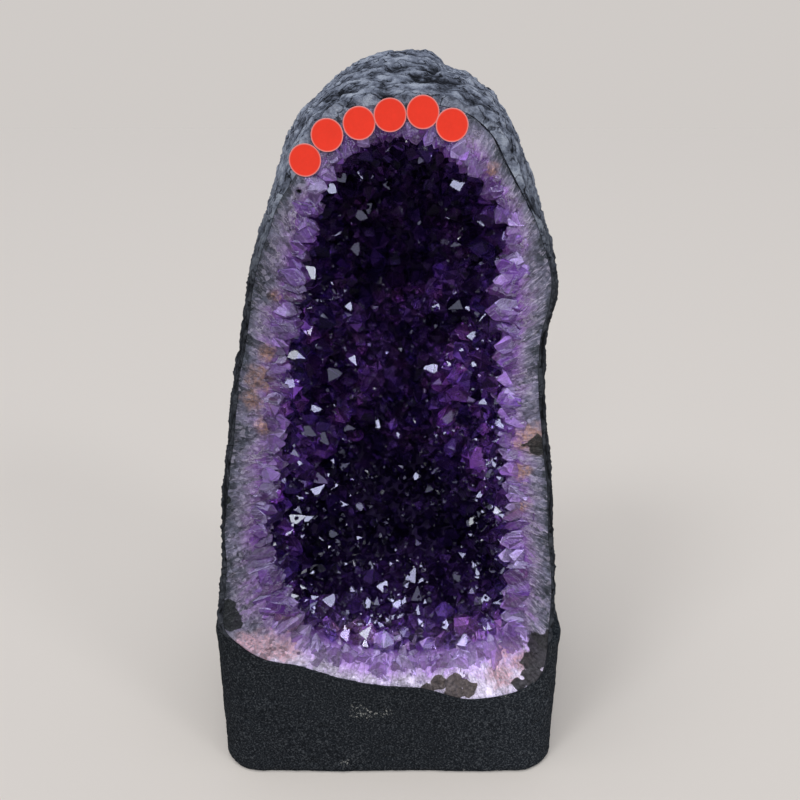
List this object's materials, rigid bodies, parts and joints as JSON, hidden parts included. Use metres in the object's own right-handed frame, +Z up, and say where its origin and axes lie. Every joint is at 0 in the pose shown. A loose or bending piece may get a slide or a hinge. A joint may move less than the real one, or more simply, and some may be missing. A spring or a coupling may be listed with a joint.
{
  "type": "amethyst cathedral geode",
  "caption": "Tall arched amethyst geode, sawn open at the front over a hollow of crystal points, set upright in a low dark cement foot for display.",
  "frame": {"origin": "middle of the cement foot's flat underside, on the floor", "axes": "+Z up, the sawn face looks along -Y, +X to the right as seen from the front"},
  "size_m": [0.2044, 0.1547, 0.4101],
  "materials": {
    "basalt_rind": "rough, lumpy and matt, dark slate grey",
    "amethyst": "glassy crystal faces, clear purple over an opaque pale quartz band",
    "dark_cement": "cast, matt and finely pitted, with pale scuffs",
    "red_label": "coated, slightly glossy"
  },
  "bodies": {
    "root": {"rock_shell": "basalt_rind", "crystal_crust": "amethyst", "cement_foot": "dark_cement", "sticker_1": "red_label", "sticker_2": "red_label", "sticker_3": "red_label", "sticker_4": "red_label", "sticker_5": "red_label", "sticker_6": "red_label"}
  },
  "joints": []
}
